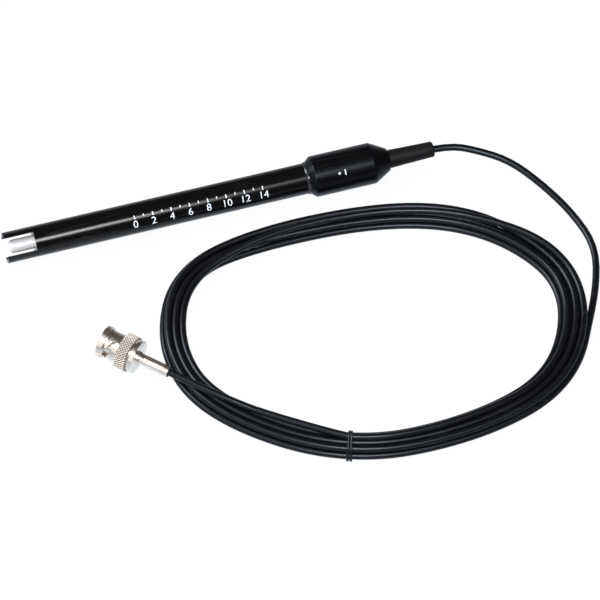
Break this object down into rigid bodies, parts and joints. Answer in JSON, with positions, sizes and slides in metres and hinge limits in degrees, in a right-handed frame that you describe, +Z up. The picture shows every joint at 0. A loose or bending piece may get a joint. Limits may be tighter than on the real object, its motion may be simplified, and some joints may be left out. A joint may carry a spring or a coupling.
{
  "type": "ph electrode",
  "caption": "Slim combination pH electrode: black tube with guarded glass tip, stepped cap, strain relief, coiled cable and bayonet coaxial plug.",
  "frame": {"origin": "on the floor under the middle of the electrode's length, from tip to end of boot", "axes": "+X from the glass tip towards the cable end, +Z up; the coil and plug lie on the -Y side"},
  "size_m": [0.22, 0.1363, 0.0164],
  "materials": {
    "shaft": "glossy black moulded plastic",
    "glass_stem": "clear sensing glass",
    "junction_ring": "pale porous junction",
    "seal": "black rubber seal",
    "silver": "silver wire, chloride-coated end",
    "cap": "satin black plastic",
    "cap_bond": "glossy resin bead",
    "boot": "matte black rubber sleeve",
    "cable": "satin black cable jacket",
    "tie": "thin black tie",
    "nickel": "bright nickel plate",
    "contact": "gold-plated contact",
    "insulator": "white fluoropolymer",
    "gasket": "red silicone gasket",
    "spring_steel": "spring steel",
    "core": "core insulation",
    "copper": "bare copper wire"
  },
  "bodies": {
    "electrode": {"shaft": "shaft", "glass_stem": "glass_stem", "junction_ring": "junction_ring", "tip_seal": "seal", "inner_wire": "silver", "stem_plug": "seal", "reference_wire": "silver", "bung": "seal", "cap": "cap", "cap_bond": "cap_bond", "boot": "boot", "cable_entry": "cable", "core_lead": "core", "shield_lead": "copper", "cable_lead": "cable", "cable_coil": "cable", "coil_tie": "tie", "cable_tail": "cable", "plug_body": "nickel", "centre_pin": "contact", "insulator": "insulator", "gasket": "gasket", "retaining_ring": "spring_steel", "crimp_ferrule": "nickel"},
    "spring": {"spring_washer": "spring_steel"},
    "coupling": {"coupling_nut": "nickel"}
  },
  "joints": [
    {"name": "coupling_pull", "type": "slide", "parent": "electrode", "child": "spring", "axis": [-0.7133, 0.7009, 0], "range_m": [0, 0.0007], "stiffness_N_per_m": 5000, "deforming": ["spring_washer"]},
    {"name": "coupling_turn", "type": "hinge", "parent": "spring", "child": "coupling", "pos_m": [-0.059, -0.0513, 0.0072], "axis": [0.7133, -0.7009, 0], "continuous": true}
  ]
}
